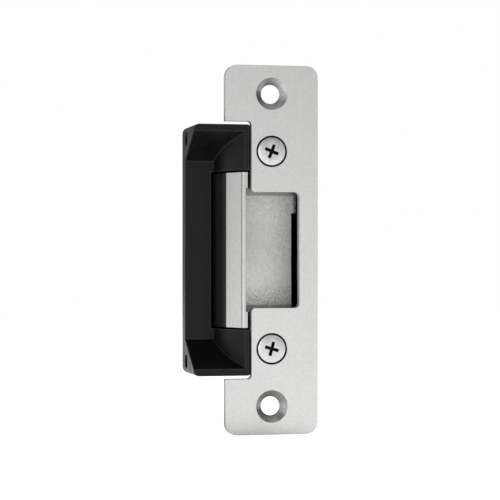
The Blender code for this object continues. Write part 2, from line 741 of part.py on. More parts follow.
def make_solenoid_frame():
    left, right = FRAME_X
    low, high = FRAME_Z
    outline = [
        (left, high), (left, low), (right, low), (right, high),
        (right - FRAME_WALL, high), (right - FRAME_WALL, low + 0.9),
        (left + FRAME_WALL, low + 0.9), (left + FRAME_WALL, high),
    ]
    frame = prism(outline, "Y", *FRAME_Y)
    centre = (COIL_Y, COIL_Z)
    cut(frame, rod("X", centre, PLUNGER_R + 0.4, right - 2, right + 1))
    cut(frame, rod("X", centre, 1.45, left - 1, left + 2))
    for x in SOLENOID_SCREW_X:
        cut(frame, rod("Z", (x, COIL_Y), SOLENOID_HOLE_R, low - 1, low + 2, 12))
    finished("solenoid_frame", frame, "zinc")


def make_solenoid_inside():
    centre = (COIL_Y, COIL_Z)
    bore, tube, flange = 2.05, 2.6, 4.0
    low, high = FRAME_X[0] + FRAME_WALL + GAP, FRAME_X[1] - FRAME_WALL - GAP
    bobbin = [
        (low, bore), (low, flange), (low + 0.8, flange), (low + 0.8, tube),
        (high - 0.8, tube), (high - 0.8, flange), (high, flange), (high, bore),
    ]
    finished("solenoid_bobbin", turned("X", centre, bobbin, 24, True), "nylon")
    coil = sleeve("X", centre, tube + 0.3, 3.9, low + 1.1, high - 1.1, 24)
    finished("solenoid_coil", coil, "copper")
    core = [(-12.9, 1.1), (low - 0.05, 1.1), (low - 0.05, PLUNGER_R), (-8.0, PLUNGER_R)]
    finished("solenoid_core", turned("X", centre, core, 20), "steel")
    for number, x in enumerate(SOLENOID_SCREW_X, 1):
        screw = flat_screw("Z", (x, COIL_Y), -HOUSING_HALF + SUNK, 1, 1.85, 0.9, 2.5, (1.9, 0.5, 0.6))
        finished(f"solenoid_screw_{number}", screw, "zinc")


def make_plunger():
    near, far = NECK_X
    profile = [
        (-6.6, PLUNGER_R - 0.2), (-6.4, PLUNGER_R), (near - 0.8, PLUNGER_R), (near - 0.8, 2.6), (near, 2.6),
        (near, 0.9), (far, 0.9), (far, PLUNGER_R), (far + 0.5, PLUNGER_R),
    ]
    finished("solenoid_plunger", turned("X", (COIL_Y, COIL_Z), profile, 20), "steel", (near, COIL_Y, COIL_Z))
    start, end, coil_r, turns, steps = FRAME_X[1] + 0.65, near - 1.45, 2.35, 2.5, 12
    points = []
    for i in range(int(turns * steps) + 1):
        angle = math.radians(360 * i / steps)
        x = start + (end - start) * i / int(turns * steps)
        points.append((x, COIL_Y + coil_r * math.cos(angle), COIL_Z + coil_r * math.sin(angle)))
    finished("plunger_spring", wire(points, 0.22), "spring_steel", (start, COIL_Y, COIL_Z))


# ---------------------------------------------------------------- electrical parts

def make_lock_switch():
    low, high = LOCK_SWITCH
    body = box(low, high)
    middle = (low[1] + high[1]) / 2
    for x in LOCK_SWITCH_SCREWS:
        cut(body, rod("Y", (x, LOCK_SWITCH_SCREW_Z), TINY_HOLE_R, low[1] - 1, high[1] + 1, 12))
    x = LOCK_BUTTON_X
    top = high[2]
    slot, half = SWITCH_SLOT_HALF, BUTTON_HALF
    cut(body, box((x - slot[0], middle - slot[1], top - 2.2), (x + slot[0], middle + slot[1], top + 1)))
    finished("lock_switch_body", body, "black_plastic")
    low_corner = (x - half[0], middle - half[1], top - 1.6)
    button = box(low_corner, (x + half[0], middle + half[1], top + BUTTON_PROUD))
    finished("lock_switch_button", button, "red_plastic", (x, middle, top))
    for number, x in enumerate(LOCK_SWITCH_SCREWS, 1):
        centre = (x, LOCK_SWITCH_SCREW_Z)
        screw = pan_screw("Y", centre, high[1] + 0.3, -1, TINY_HEAD_R, 0.6, TINY_SHANK_R, 8.0, TINY_CROSS)
        finished(f"lock_switch_screw_{number}", screw, "zinc")


def make_keeper_switch():
    low, high = KEEPER_SWITCH
    body = box(low, high)
    middle = (low[2] + high[2]) / 2
    hinge_x, hinge_y = LEAF_HINGE
    hinge_slot_low = (hinge_x - 0.65, low[1] - 1, LEAF_Z[0] - GAP)
    cut(body, box(hinge_slot_low, (hinge_x + 0.65, low[1] + 1.6, LEAF_Z[1] + GAP)))
    x = KEEPER_BUTTON_X
    slot, half = SWITCH_SLOT_HALF, BUTTON_HALF
    cut(body, box((x - slot[0], low[1] - 1, middle - slot[1]), (x + slot[0], low[1] + 2.2, middle + slot[1])))
    for screw_x in KEEPER_SWITCH_SCREWS:
        cut(body, rod("Z", (screw_x, KEEPER_SWITCH_SCREW_Y), TINY_HOLE_R, low[2] - 1, high[2] + 1, 12))
    finished("keeper_switch_body", body, "black_plastic")
    front = low[1] - BUTTON_PROUD
    button = box((x - half[0], front, middle - half[1]), (x + half[0], low[1] + 1.6, middle + half[1]))
    finished("keeper_switch_button", button, "red_plastic", (x, low[1], middle))
    front, rear = LEAF_Y
    leaf = box((hinge_x - 0.25, front, LEAF_Z[0]), (LEAF_TIP_X[1], rear, LEAF_Z[1]))
    join(leaf, box((LEAF_TIP_X[0], front, 24.0), (LEAF_TIP_X[1], rear, LEAF_Z[0] + 1)))
    join(leaf, box((hinge_x - 0.25, front, LEAF_Z[0]), (hinge_x + 0.25, hinge_y + 0.7, LEAF_Z[1])))
    finished("keeper_switch_leaf", leaf, "spring_steel", (hinge_x, hinge_y, middle))
    for number, x in enumerate(KEEPER_SWITCH_SCREWS, 1):
        centre = (x, KEEPER_SWITCH_SCREW_Y)
        screw = pan_screw("Z", centre, high[2] + 0.3, -1, TINY_HEAD_R, 0.5, TINY_SHANK_R, 6.0, TINY_CROSS)
        finished(f"keeper_switch_screw_{number}", screw, "zinc")


def make_board():
    low, high = BOARD
    board = box(low, high)
    for x, z in BOARD_SCREWS:
        cut(board, rod("Y", (x, z), TINY_HOLE_R, low[1] - 1, high[1] + 1, 12))
    finished("circuit_board", board, "laminate")
    for number, (x, z) in enumerate(BOARD_SCREWS, 1):
        screw = pan_screw("Y", (x, z), high[1] + 0.3, -1, TINY_HEAD_R, 0.7, TINY_SHANK_R, 6.0, TINY_CROSS)
        finished(f"board_screw_{number}", screw, "zinc")
    varistor = turned("Y", SUPPRESSOR, [(17.5, 1.6), (17.8, 1.9), (19.4, 1.9), (19.7, 1.6)], 20)
    finished("suppressor", varistor, "blue_resin")


def make_socket():
    low, high = SOCKET
    wall = SOCKET_WALL
    body = box(low, high)
    floor = high[1] - SOCKET_DEPTH
    hollow = box((low[0] + wall, floor, low[2] + wall), (high[0] - wall, high[1] + 1, high[2] - wall))
    cut(body, hollow)
    middle = ((low[0] + high[0]) / 2, (low[2] + high[2]) / 2)
    for name, offset in (("left", -PIN_OFFSET), ("right", PIN_OFFSET)):
        x, z = middle[0] + offset, middle[1]
        hole = PIN_HALF + 0.4
        cut(body, box((x - hole, low[1] - 1, z - hole), (x + hole, floor + 1, z + hole)))
        pin = box((x - PIN_HALF, low[1] + 0.2, z - PIN_HALF), (x + PIN_HALF, high[1] - 2.0, z + PIN_HALF))
        finished(f"terminal_pin_{name}", pin, "brass")
    finished("terminal_socket", body, "nylon")


def smooth_route(points, per_span=5):
    """A smooth curve of points through the points of a route."""
    ends = [points[0]] + points + [points[-1]]
    ends = [Vector(point) for point in ends]
    route = []
    for i in range(1, len(ends) - 2):
        a, b, c, d = ends[i - 1:i + 3]
        for step in range(per_span):
            t = step / per_span
            route.append(0.5 * (
                2 * b + (c - a) * t + (2 * a - 5 * b + 4 * c - d) * t ** 2
                + (3 * b - a - 3 * c + d) * t ** 3
            ))
    return route + [ends[-1]]


def make_leads():
    """The two leads from the coil, along the housing's right wall, to the circuit board."""
    starts = {
        "red": [(1.2, 29.5, -30.4), (5.0, 28.8, -29.9), (8.4, 27.8, -29.4)],
        "black": [(1.2, 29.5, -33.0), (5.5, 29.0, -32.5), (9.8, 28.0, -31.3)],
    }
    for name, x in (("red", 9.8), ("black", 11.3)):
        straight = [(x, 27.0, z) for z in (-27.2, -20.0, -10.0, 0.0, 10.0, 20.0, 27.5)]
        end = [(x, 25.5, 31.5), (x - 0.4, 21.0, 33.5), (x - 0.6, 17.6, 33.8)]
        route = smooth_route(starts[name] + straight + end, 3)
        finished(f"coil_lead_{name}", wire(route, LEAD_R, 2), f"{name}_plastic")


def clear_scene():
    for obj in list(bpy.data.objects):
        bpy.data.objects.remove(obj)


def main():
    clear_scene()
    make_faceplate()
    make_faceplate_screws()
    make_housing()
    make_rear_cover()
    make_keeper()
    make_keeper_shaft()
    make_keeper_springs()
    make_lock_lever()
    make_solenoid_frame()
    make_solenoid_inside()
    make_plunger()
    make_lock_switch()
    make_keeper_switch()
    make_board()
    make_socket()
    make_leads()


main()
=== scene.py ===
"""Looks of the electric door strike: satin faceplate, black housing, steel keeper and works inside.

Sizes are in millimetres unless a line says otherwise, and MM turns them into the frame's metres.
The camera stands in front of the faceplate, a little to the left of its normal.
"""

import json
import math

import bmesh
import bpy
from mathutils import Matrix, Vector

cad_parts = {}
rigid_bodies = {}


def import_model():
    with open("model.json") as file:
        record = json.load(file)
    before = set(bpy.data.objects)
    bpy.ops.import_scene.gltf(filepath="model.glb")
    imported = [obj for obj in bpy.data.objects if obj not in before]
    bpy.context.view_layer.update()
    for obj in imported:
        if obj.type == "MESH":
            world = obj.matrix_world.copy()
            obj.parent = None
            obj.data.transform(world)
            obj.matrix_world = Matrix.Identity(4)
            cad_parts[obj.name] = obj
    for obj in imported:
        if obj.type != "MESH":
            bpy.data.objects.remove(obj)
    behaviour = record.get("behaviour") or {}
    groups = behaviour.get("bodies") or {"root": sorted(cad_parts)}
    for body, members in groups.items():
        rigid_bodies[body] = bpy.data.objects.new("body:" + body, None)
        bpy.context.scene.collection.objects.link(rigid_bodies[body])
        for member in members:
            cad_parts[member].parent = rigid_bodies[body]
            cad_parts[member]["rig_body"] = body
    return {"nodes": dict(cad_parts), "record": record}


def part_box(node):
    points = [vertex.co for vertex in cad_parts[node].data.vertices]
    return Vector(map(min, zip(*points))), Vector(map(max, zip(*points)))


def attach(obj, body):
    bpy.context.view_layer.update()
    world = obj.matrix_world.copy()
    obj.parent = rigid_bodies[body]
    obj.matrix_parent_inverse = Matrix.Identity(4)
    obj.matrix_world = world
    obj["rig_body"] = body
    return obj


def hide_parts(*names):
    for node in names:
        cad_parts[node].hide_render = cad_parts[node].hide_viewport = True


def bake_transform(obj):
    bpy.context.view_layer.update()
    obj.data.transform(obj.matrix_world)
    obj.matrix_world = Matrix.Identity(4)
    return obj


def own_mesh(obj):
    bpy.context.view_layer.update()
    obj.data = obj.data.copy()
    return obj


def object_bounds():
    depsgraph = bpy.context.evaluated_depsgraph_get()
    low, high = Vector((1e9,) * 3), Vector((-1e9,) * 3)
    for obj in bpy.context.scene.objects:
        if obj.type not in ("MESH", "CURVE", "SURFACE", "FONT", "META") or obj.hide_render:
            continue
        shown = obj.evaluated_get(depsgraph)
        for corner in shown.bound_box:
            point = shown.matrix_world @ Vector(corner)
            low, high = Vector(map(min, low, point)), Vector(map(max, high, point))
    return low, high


MM = 0.001
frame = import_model()
CAD_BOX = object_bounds()
NODES = frame["nodes"]
SLOTS = {row["node"]: row["material_slot"] for row in frame["record"]["subparts"]}

# Camera: the faceplate fills three quarters of the height, from this far away.
CAMERA_DISTANCE = 600
CAMERA_AZIMUTH = -12.83
CAMERA_ELEVATION = -0.2
CAMERA_LENS = 128.93
CAMERA_TARGET_X = -7.5

# Brightness of the room round the part, where 1 is the white backdrop.
ROOM_LEVEL = 0.07

# Keeper: where the narrow land along its lip begins, with its painted shade line and painted
# highlight line.
LAND_EDGE_X = -10.25

# Keeper: how deep the rough cast of its pocket begins, where painted shade darkens the pocket at
# its right side and at its ends, and where painted shade lies on the ledge at its ends.
POCKET_DEPTH = (7.0, 10.5)
POCKET_RIGHT_SHADE = (11.5, 12.5)
POCKET_END_SHADE = (18.8, 19.4)
LEDGE_SHADE_END = (19.0, 19.25)

# Faceplate: its two countersunk fixing holes.
FIXING_Z = 52.39
FIXING_SINK_R = 5.4

# Floor: the middle of its painted shadow pool, where it begins and ends, and how bright it is
# inside.
SHADOW_POOL_X, SHADOW_POOL_Y = -14.0, 24.0
SHADOW_POOL_RADII = (22, 55)
SHADOW_POOL_LEVEL = 0.12
FLOOR_HALF = 1200

# Points of a CAD mesh closer than this are one point.
MERGE_DISTANCE = 0.002

# Screws: half the angle of a countersunk head, in degrees, the faces round big and small ones, and
# the radii at the thread's root and under the head as shares of the shank's.
HEAD_HALF_ANGLE = 41
SCREW_SIDES = 48
SMALL_SCREW_SIDES = 32
THREAD_ROOT = 0.8
NECK = 0.86

# Coil: how many turns its outer layer has, and the radius of its bore.
COIL_TURNS = 26
COIL_BORE_R = 3.0

# Springs: radius of the plunger spring's wire and its turns, and how far from their ends the
# torsion springs begin to turn.
PLUNGER_WIRE_R = 0.22
PLUNGER_TURNS = 2.5
TORSION_LEG = 0.7

# How much each node's sharp edges are rounded.
EDGE_ROUNDING = {
    "faceplate": 0.18, "housing": 0.35, "rear_cover": 0.25, "keeper": 0.25,
    "keeper_shaft": 0.15, "keeper_bush_upper": 0.12, "keeper_bush_lower": 0.12, "shaft_clip": 0.08,
    "lock_lever": 0.2, "lock_lever_pin": 0.12, "lock_lever_clip": 0.08,
    "solenoid_frame": 0.2, "solenoid_bobbin": 0.12, "solenoid_core": 0.12, "solenoid_plunger": 0.12,
    "lock_switch_body": 0.18, "lock_switch_button": 0.12,
    "keeper_switch_body": 0.18, "keeper_switch_button": 0.12, "keeper_switch_leaf": 0.05,
    "circuit_board": 0.08, "suppressor": 0.25,
    "terminal_socket": 0.12, "terminal_pin_left": 0.12, "terminal_pin_right": 0.12,
}


# ---------------------------------------------------------------- small helpers

def box_mm(node):
    """Lowest and highest corner of a CAD node, in millimetres."""
    low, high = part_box(node)
    return low / MM, high / MM


def add(name, data):
    obj = bpy.data.objects.new(name, data)
    bpy.context.scene.collection.objects.link(obj)
    return obj


def mesh_object(name, mesh, sharp=35):
    """A smooth-shaded object from a bmesh whose points are in metres."""
    data = bpy.data.meshes.new(name)
    mesh.to_mesh(data)
    mesh.free()
    data.shade_smooth()
    data.set_sharp_from_angle(angle=math.radians(sharp))
    return add(name, data)


def stand_in(piece, node, material, crossing=None):
    """Show the piece in place of a CAD node, with its slot.

    The piece rides on the node's body, but with a crossing it stays fixed where it is.
    """
    piece.data.materials.clear()
    piece.data.materials.append(material)
    if crossing:
        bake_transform(piece)
    else:
        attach(piece, NODES[node]["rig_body"])
    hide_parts(node)
    return piece


# ---------------------------------------------------------------- materials

class Finish:
    """A material made from patterns in the part's own millimetres."""

    def __init__(self, name, colour, roughness, metallic=0.0, specular=0.5, coat=0.0):
        self.material = bpy.data.materials.new(name)
        self.material.use_nodes = True
        self.tree = self.material.node_tree
        self.shader = self.tree.nodes["Principled BSDF"]
        self.shader.inputs["Base Color"].default_value = (*colour, 1)
        self.shader.inputs["Roughness"].default_value = roughness
        self.shader.inputs["Metallic"].default_value = metallic
        self.shader.inputs["Specular IOR Level"].default_value = specular
        self.shader.inputs["Coat Weight"].default_value = coat
        self.place = self.node("ShaderNodeTexCoord").outputs["Object"]
        self.normal = None

    def node(self, kind, **values):
        made = self.tree.nodes.new(kind)
        for key, value in values.items():
            setattr(made, key, value)
        return made

    def link(self, source, target):
        self.tree.links.new(source, target)

    def scaled(self, per_mm):
        """The place in millimetres times a scale for each axis, as patterns need it."""
        mapping = self.node("ShaderNodeMapping")
        factors = per_mm if hasattr(per_mm, "__len__") else (per_mm,) * 3
        mapping.inputs["Scale"].default_value = [f / MM for f in factors]
        self.link(self.place, mapping.inputs["Vector"])
        return mapping.outputs["Vector"]

    def noise(self, per_mm, detail=3.0, rough=0.5, distortion=0.0):
        """Cloudy noise whose features are about 1 / per_mm in size."""
        made = self.node("ShaderNodeTexNoise")
        made.inputs["Scale"].default_value = 1.0
        made.inputs["Detail"].default_value = detail
        made.inputs["Roughness"].default_value = rough
        made.inputs["Distortion"].default_value = distortion
        self.link(self.scaled(per_mm), made.inputs["Vector"])
        return made.outputs["Fac"]

    def cells(self, per_mm, feature="F1", randomness=1.0):
        """How far each point is from its cell's middle, or from its edge."""
        made = self.node("ShaderNodeTexVoronoi", feature=feature)
        made.inputs["Scale"].default_value = 1.0
        made.inputs["Randomness"].default_value = randomness
        self.link(self.scaled(per_mm), made.inputs["Vector"])
        return made.outputs["Distance"]

    def axis(self, letter):
        """One coordinate of the place, in millimetres."""
        split = self.node("ShaderNodeSeparateXYZ")
        self.link(self.scaled(1.0), split.inputs["Vector"])
        return split.outputs[letter]

    def maths(self, operation, a, b=0.0):
        made = self.node("ShaderNodeMath", operation=operation)
        for socket, value in zip(made.inputs, (a, b)):
            if isinstance(value, (int, float)):
                socket.default_value = value
            else:
                self.link(value, socket)
        return made.outputs["Value"]

    def times(self, a, b):
        return self.maths("MULTIPLY", a, b)

    def plus(self, a, b):
        return self.maths("ADD", a, b)

    def minus(self, a, b):
        return self.maths("SUBTRACT", a, b)

    def size(self, a):
        """The value without its sign."""
        return self.maths("ABSOLUTE", a)

    def distance(self, *parts):
        """How long the vector with these two parts is."""
        squares = [self.maths("POWER", part, 2.0) for part in parts]
        return self.maths("SQRT", self.plus(*squares))

    def span(self, value, low, high, new_low=0.0, new_high=1.0):
        """The value mapped smoothly from one span to another, and held at its ends."""
        made = self.node("ShaderNodeMapRange", interpolation_type="SMOOTHSTEP")
        self.link(value, made.inputs["Value"])
        numbers = {"From Min": low, "From Max": high, "To Min": new_low, "To Max": new_high}
        for key, number in numbers.items():
            made.inputs[key].default_value = number
        return made.outputs["Result"]

    def blend(self, factor, first, second):
        """A colour mix; each side is a colour or an output."""
        made = self.node("ShaderNodeMix", data_type="RGBA")
        self.link(factor, made.inputs["Factor"])
        for socket, value in ((made.inputs[6], first), (made.inputs[7], second)):
            if isinstance(value, tuple):
                socket.default_value = (*value, 1)
            else:
                self.link(value, socket)
        return made.outputs[2]

    def edges(self, radius):
        """0 on flat stretches and 1 within a radius in millimetres of an edge."""
        rounded = self.node("ShaderNodeBevel", samples=6)
        rounded.inputs["Radius"].default_value = radius * MM
        turned = self.node("ShaderNodeVectorMath", operation="DOT_PRODUCT")
        self.link(rounded.outputs["Normal"], turned.inputs[0])
        self.link(self.node("ShaderNodeNewGeometry").outputs["True Normal"], turned.inputs[1])
        return self.span(turned.outputs["Value"], 0.999, 0.975)

    def colour(self, output):
        self.link(output, self.shader.inputs["Base Color"])

    def roughness(self, output):
        self.link(output, self.shader.inputs["Roughness"])

    def bump(self, height, depth, strength=1.0):
        """Raise the surface by the height times a depth in millimetres."""
        made = self.node("ShaderNodeBump")
        made.inputs["Strength"].default_value = strength
        made.inputs["Distance"].default_value = depth * MM
        self.link(height, made.inputs["Height"])
        if self.normal is not None:
            self.link(self.normal, made.inputs["Normal"])
        self.normal = made.outputs["Normal"]
        self.link(self.normal, self.shader.inputs["Normal"])


def grey(value):
    """A metal's grey, a touch warm."""
    return (value, value, value * 0.985)


def neutral(value):
    """A grey with no tint."""
    return (value, value, value)


def satin_steel():
    """Stainless plate: a fine upright grain, faint smears, a few scratches, painted shade in the
    screws' sinks and painted shade and highlight on the fixing holes' cones.
    """
    finish = Finish("satin_steel", grey(0.62), 0.32, 1.0)
    fine = finish.noise((9.0, 9.0, 0.25), 2.0, 0.6)
    broad = finish.noise((1.6, 1.6, 0.05), 3.0, 0.6)
    cloud = finish.noise(0.07, 4.0, 0.6)
    grain = finish.plus(finish.times(fine, 0.6), finish.times(broad, 0.4))
    smear = finish.noise(1.1, 4.0, 0.65)
    dapple = finish.noise(2.3, 2.0)
    tone = finish.blend(finish.span(grain, 0.3, 0.7), grey(0.60), grey(0.68))
    tone = finish.blend(finish.span(cloud, 0.35, 0.7), tone, grey(0.65))
    tone = finish.blend(finish.span(smear, 0.4, 0.75), tone, grey(0.71))
    tone = finish.blend(finish.span(dapple, 0.45, 0.75), tone, grey(0.585))
    tone = finish.blend(fixing_sinks(finish), tone, cone_rings_with_painted_light(finish))
    # painted shade, near black, in the sinks round the faceplate's own screws
    finish.colour(finish.blend(painted_shade_round_screws(finish), tone, grey(0.06)))
    facing = finish.node("ShaderNodeSeparateXYZ")
    normal = finish.node("ShaderNodeNewGeometry").outputs["True Normal"]
    finish.link(normal, facing.inputs["Vector"])
    side = finish.span(finish.size(facing.outputs["Y"]), 0.5, 0.2, 0.0, 0.3)
    streak = finish.span(grain, 0.3, 0.7, 0.30, 0.42)
    streak = finish.plus(streak, finish.span(cloud, 0.3, 0.75, -0.02, 0.05))
    finish.roughness(finish.plus(streak, side))
    scratch = finish.cells((0.9, 0.9, 0.035), "DISTANCE_TO_EDGE")
    finish.bump(finish.span(scratch, 0.0, 0.012), 0.002, 0.35)
    finish.bump(grain, 0.006, 0.5)
    return finish.material


def cone_rings_with_painted_light(finish):
    """The tone of the fixing holes' cones: turned rings, with painted shade on the left and a
    painted highlight on the right.
    """
    rings = finish.span(finish.noise(2.2, 3.0, 0.6, 1.5), 0.35, 0.65)
    dull = finish.blend(rings, grey(0.20), grey(0.40))
    bright = finish.blend(rings, grey(0.52), grey(0.84))
    # painted shade on each cone's left side, painted highlight on its right
    return finish.blend(finish.span(finish.axis("X"), -1.0, 4.0), dull, bright)


def sinks(finish, height, radius):
    """1 in the plate's two sinks at a height above and below its middle, and 0 elsewhere."""
    off = finish.minus(finish.size(finish.axis("Z")), height)
    inside = finish.span(finish.distance(finish.axis("X"), off), radius + 0.15, radius)
    front, back = (corner.y for corner in box_mm("faceplate"))
    under = finish.span(finish.axis("Y"), front + 0.01, front + 0.07)
    before = finish.span(finish.axis("Y"), back - 0.15, back - 0.25)
    return finish.times(inside, finish.times(under, before))


def painted_shade_round_screws(finish):
    """Painted shade: the dark rings in the sinks round the faceplate's own screws."""
    low, high = box_mm("faceplate_screw_upper")
    return sinks(finish, (low.z + high.z) / 2, (high.x - low.x) / 2 + 0.45)


def fixing_sinks(finish):
    """The cones of the fixing holes."""
    return sinks(finish, FIXING_Z, FIXING_SINK_R + 0.1)


def cast_steel():
    """Keeper: satin where the latch rubs, mottled in the pocket and dark on its outer flank."""
    finish = Finish("cast_steel", grey(0.5), 0.4, 1.0)
    x, depth, height = (finish.axis(letter) for letter in "XYZ")
    wobble = finish.times(finish.noise(0.5, 2.0), 1.2)
    pocket = finish.span(finish.plus(depth, wobble), *POCKET_DEPTH)
    mottle = finish.noise(0.7, 6.0, 0.7, 0.8)
    speck = finish.noise(3.4, 3.0, 0.7)
    grain = finish.noise((5.0, 5.0, 0.3), 3.0, 0.6)
    cast_tone = pocket_tone(finish, x, depth, height, mottle, speck)
    tone = finish.blend(pocket, land_tone(finish, x, mottle, grain), cast_tone)
    # painted shade, near black, on the small ledge by the plate at the keeper's ends
    ledge = finish.times(finish.span(x, -8.0, -7.7), finish.span(depth, 1.7, 1.3))
    ends = finish.span(finish.size(height), *LEDGE_SHADE_END)
    tone = finish.blend(finish.times(ends, ledge), tone, grey(0.02))
    flank = finish.times(finish.span(depth, 4.2, 4.6), finish.span(x, -12.5, -13.1))
    flank_tone = finish.blend(finish.span(depth, 6.0, 11.0), neutral(0.030), neutral(0.006))
    finish.colour(finish.blend(flank, tone, flank_tone))
    finish.link(finish.span(pocket, 0.0, 1.0, 1.0, 0.5), finish.shader.inputs["Metallic"])
    satin = finish.span(grain, 0.3, 0.7, 0.25, 0.32)
    cast = finish.span(mottle, 0.3, 0.7, 0.38, 0.50)
    finish.roughness(finish.plus(satin, finish.times(pocket, finish.minus(cast, satin))))
    relief = finish.times(finish.plus(mottle, finish.times(speck, 0.35)), pocket)
    finish.bump(relief, 0.12, 0.8)
    finish.bump(grain, 0.006, 0.5)
    return finish.material


def pocket_tone(finish, x, depth, height, mottle, speck):
    """As-cast steel: greyer at the left, speckled low down, with painted shade along its right side
    and at its ends.
    """
    pits = finish.cells(1.1)
    tone = finish.blend(finish.span(mottle, 0.38, 0.62), grey(0.77), grey(0.90))
    tone = finish.blend(finish.span(speck, 0.58, 0.75, 0.0, 0.7), tone, grey(0.96))
    tone = finish.blend(finish.span(pits, 0.03, 0.14), grey(0.5), tone)
    # painted shade along the pocket's right side, reaching further in above the tab
    upper = finish.span(height, 12.5, 12.9, 0.0, 0.6)
    right = finish.plus(finish.minus(x, upper), finish.times(speck, 3.4))
    tone = finish.blend(finish.span(right, *POCKET_RIGHT_SHADE), tone, grey(0.03))
    left = finish.span(x, 8.0, -10.0, 0.0, 0.6)
    left = finish.times(left, finish.span(height, -18.0, 6.0, 0.25, 1.0))
    tone = finish.blend(left, tone, grey(0.42))
    tone = finish.blend(finish.span(height, 2.0, -16.0, 0.0, 0.85), tone, grey(1.0))
    low = finish.span(height, -8.0, -18.5, 0.1, 0.95)
    spots = finish.span(finish.noise(2.4, 3.0, 0.7), 0.52, 0.60)
    tone = finish.blend(finish.times(low, spots), tone, grey(0.36))
    # painted shade at the pocket's ends
    end = finish.plus(finish.size(height), finish.times(speck, 0.8))
    end = finish.times(finish.span(end, *POCKET_END_SHADE, 0.0, 0.6), finish.span(depth, 14.0, 12.5))
    tone = finish.blend(end, tone, grey(0.12))
    veins = finish.noise(0.8, 5.0, 0.7, 1.8)
    tone = finish.blend(finish.span(veins, 0.44, 0.60, 0.0, 0.22), tone, grey(0.45))
    return finish.blend(finish.span(veins, 0.44, 0.36, 0.0, 0.5), tone, grey(1.0))


def land_tone(finish, x, mottle, grain):
    """Satin steel, with a painted shade line and a painted highlight line where the land along the
    lip begins.
    """
    tone = finish.blend(finish.span(grain, 0.3, 0.7), grey(0.52), grey(0.57))
    tone = finish.blend(finish.span(mottle, 0.5, 0.8), tone, grey(0.47))
    # painted shade: a dark line at the land's step
    step = finish.size(finish.minus(x, LAND_EDGE_X))
    tone = finish.blend(finish.span(step, 0.08, 0.26), grey(0.27), tone)
    # painted highlight: a bright line on the land's rounded edge
    land_highlight_offset = finish.size(finish.minus(x, LAND_EDGE_X + 0.45))
    return finish.blend(finish.span(land_highlight_offset, 0.12, 0.32), grey(0.72), tone)


def black_coat():
    """Baked black coat on a zinc casting: fine orange peel, a dull bloom, and edges lighter from
    wear and painted highlight.
    """
    finish = Finish("black_coat", neutral(0.004), 0.42, specular=0.22)
    peel = finish.noise(1.1, 3.0, 0.55)
    fine = finish.noise(6.0, 2.0, 0.6)
    cloud = finish.noise(0.09, 4.0, 0.62)
    dust = finish.noise(2.6, 5.0, 0.75)
    speckle = finish.noise(1.5, 3.0, 0.7)
    tone = finish.blend(finish.span(cloud, 0.3, 0.7), neutral(0.0014), neutral(0.0030))
    tone = finish.blend(finish.span(speckle, 0.5, 0.72), tone, neutral(0.0085))
    tone = finish.blend(finish.span(dust, 0.64, 0.8), tone, neutral(0.009))
    # lighter edges: partly wear, partly painted highlight standing in for glints on rounded edges
    edge_wear_and_highlight = finish.times(finish.edges(0.6), finish.span(dust, 0.35, 0.6, 0.45, 1.0))
    finish.colour(finish.blend(edge_wear_and_highlight, tone, (0.042, 0.042, 0.041)))
    base = finish.span(cloud, 0.3, 0.7, 0.36, 0.48)
    finish.roughness(finish.plus(base, finish.span(speckle, 0.35, 0.7, -0.05, 0.06)))
    finish.bump(peel, 0.045, 0.7)
    finish.bump(fine, 0.006, 0.5)
    return finish.material


def zinc():
    """Bright zinc plate with faint blotches."""
    finish = Finish("zinc_plate", neutral(0.6), 0.3, 1.0)
    blotch = finish.noise(0.5, 4.0, 0.6)
    fine = finish.noise(6.0, 2.0, 0.6)
    tone = finish.blend(finish.span(blotch, 0.35, 0.65), (0.58, 0.58, 0.59), (0.63, 0.625, 0.615))
    tone = finish.blend(finish.span(fine, 0.6, 0.8), tone, neutral(0.54))
    finish.colour(tone)
    finish.roughness(finish.span(blotch, 0.3, 0.7, 0.26, 0.38))
    finish.bump(fine, 0.008, 0.5)
    return finish.material


def recess_shade_and_grime():
    """The inside of a screw's cross: painted shade with oily grime, darker than its head."""
    finish = Finish("recess_shade_and_grime", neutral(0.03), 0.6, 1.0)
    grime = finish.noise(3.0, 4.0, 0.7)
    finish.colour(finish.blend(finish.span(grime, 0.35, 0.7), grey(0.012), grey(0.05)))
    finish.roughness(finish.span(grime, 0.3, 0.7, 0.5, 0.75))
    finish.bump(grime, 0.02, 0.6)
    return finish.material


def machined_steel():
    """Ground steel with a fine lay and faint oil."""
    finish = Finish("machined_steel", (0.5, 0.5, 0.52), 0.25, 1.0)
    lay = finish.noise(10.0, 2.0, 0.7)
    oil = finish.noise(0.35, 3.0)
    finish.colour(finish.blend(finish.span(oil, 0.4, 0.7), (0.52, 0.52, 0.53), (0.44, 0.43, 0.41)))
    finish.roughness(finish.span(lay, 0.3, 0.7, 0.18, 0.34))
    finish.bump(lay, 0.004, 0.6)
    return finish.material


def spring_steel():
    """Drawn spring wire and strip: dark, with fine draw marks."""
    finish = Finish("spring_steel", (0.33, 0.33, 0.35), 0.28, 1.0)
    draw = finish.noise((12.0, 3.0, 12.0), 3.0, 0.7)
    heat = finish.noise(0.5, 3.0)
    heat = finish.span(heat, 0.35, 0.7)
    finish.colour(finish.blend(heat, (0.36, 0.36, 0.38), (0.27, 0.24, 0.21)))
    finish.roughness(finish.span(draw, 0.3, 0.7, 0.2, 0.38))
    finish.bump(draw, 0.005, 0.6)
    return finish.material


